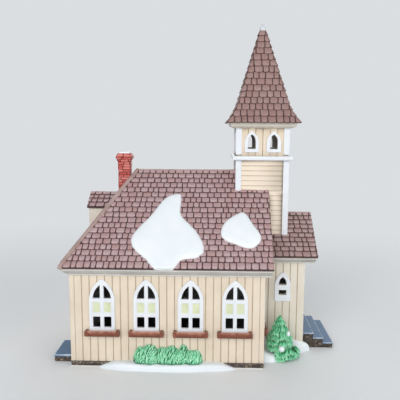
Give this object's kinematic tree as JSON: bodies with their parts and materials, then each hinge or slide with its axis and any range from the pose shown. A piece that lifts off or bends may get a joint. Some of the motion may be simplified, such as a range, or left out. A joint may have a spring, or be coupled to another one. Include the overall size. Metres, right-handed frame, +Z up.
{
  "type": "ceramic village church lamp house",
  "caption": "Porcelain village church with a shingled hip roof, spired corner tower, entry wing and lancet windows, lit from inside by a clip-in lamp in its back wall.",
  "frame": {"origin": "on the ground under the middle of the nave", "axes": "+Z up, -Y out of the long front wall, +X towards the entry wing and its steps"},
  "size_m": [0.1907, 0.1181, 0.2276],
  "materials": {
    "cream_wall": "satin glaze",
    "white_trim": "satin glaze",
    "cornice_grey": "satin glaze",
    "shingle": "satin glaze",
    "snow": "satin glaze",
    "stone": "matt glaze",
    "slate": "matt glaze",
    "brick": "matt glaze",
    "foliage": "satin glaze",
    "planter": "satin glaze",
    "door_brown": "satin glaze",
    "white_plastic": "moulded",
    "brass": "bright",
    "spring_steel": "plain",
    "bulb_clear": "clear"
  },
  "bodies": {
    "house": {"nave_foundation": "stone", "entry_foundation": "stone", "entry_steps": "slate", "side_stoop": "slate", "nave_front_wall": "cream_wall", "nave_rear_wall": "cream_wall", "nave_left_wall": "cream_wall", "nave_right_wall": "cream_wall", "entry_front_wall": "cream_wall", "entry_rear_wall": "cream_wall", "entry_end_wall": "cream_wall", "tower_front_wall": "cream_wall", "tower_rear_wall": "cream_wall", "tower_left_wall": "cream_wall", "tower_right_wall": "cream_wall", "dormer_walls": "cream_wall", "nave_cornice_front": "cornice_grey", "nave_cornice_rear": "cornice_grey", "nave_cornice_left": "cornice_grey", "entry_cornice": "cornice_grey", "tower_cornice": "cornice_grey", "tower_corner_boards": "white_trim", "tower_string_course": "white_trim", "belfry_window_frames": "white_trim", "front_windows": "white_trim", "rear_windows": "white_trim", "end_window": "white_trim", "entry_window": "white_trim", "entry_door_frame": "white_trim", "side_door_frame": "white_trim", "entry_doors": "door_brown", "side_door": "door_brown", "front_window_boxes": "planter", "end_window_box": "planter", "nave_roof_front": "shingle", "nave_roof_rear": "shingle", "nave_roof_hip": "shingle", "hip_caps": "shingle", "ridge_caps": "shingle", "entry_roof_front": "shingle", "entry_roof_rear": "shingle", "dormer_roof_front": "shingle", "dormer_roof_rear": "shingle", "spire": "shingle", "chimney_stack": "brick", "chimney_cap": "brick", "chimney_snow": "snow", "roof_snow": "snow", "spire_snow_tip": "snow", "front_snow_bank": "snow", "corner_snow_bank": "snow", "tree_snow_tufts": "snow", "front_shrub": "foliage", "fir_tree": "foliage"},
    "lamp": {"lamp_holder": "white_plastic", "lamp_clips": "spring_steel", "lamp_screw_shell": "brass", "lamp_contact": "brass"},
    "bulb": {"bulb_base": "brass", "bulb_glass": "bulb_clear"}
  },
  "joints": [
    {"name": "lamp_pull", "type": "slide", "parent": "house", "child": "lamp", "axis": [0, 1, 0], "range_m": [0, 0.066]},
    {"name": "bulb_turn", "type": "hinge", "parent": "lamp", "child": "bulb", "pos_m": [0, 0.0505, 0.036], "axis": [0, -1, 0], "range_deg": [0, 1440]}
  ]
}
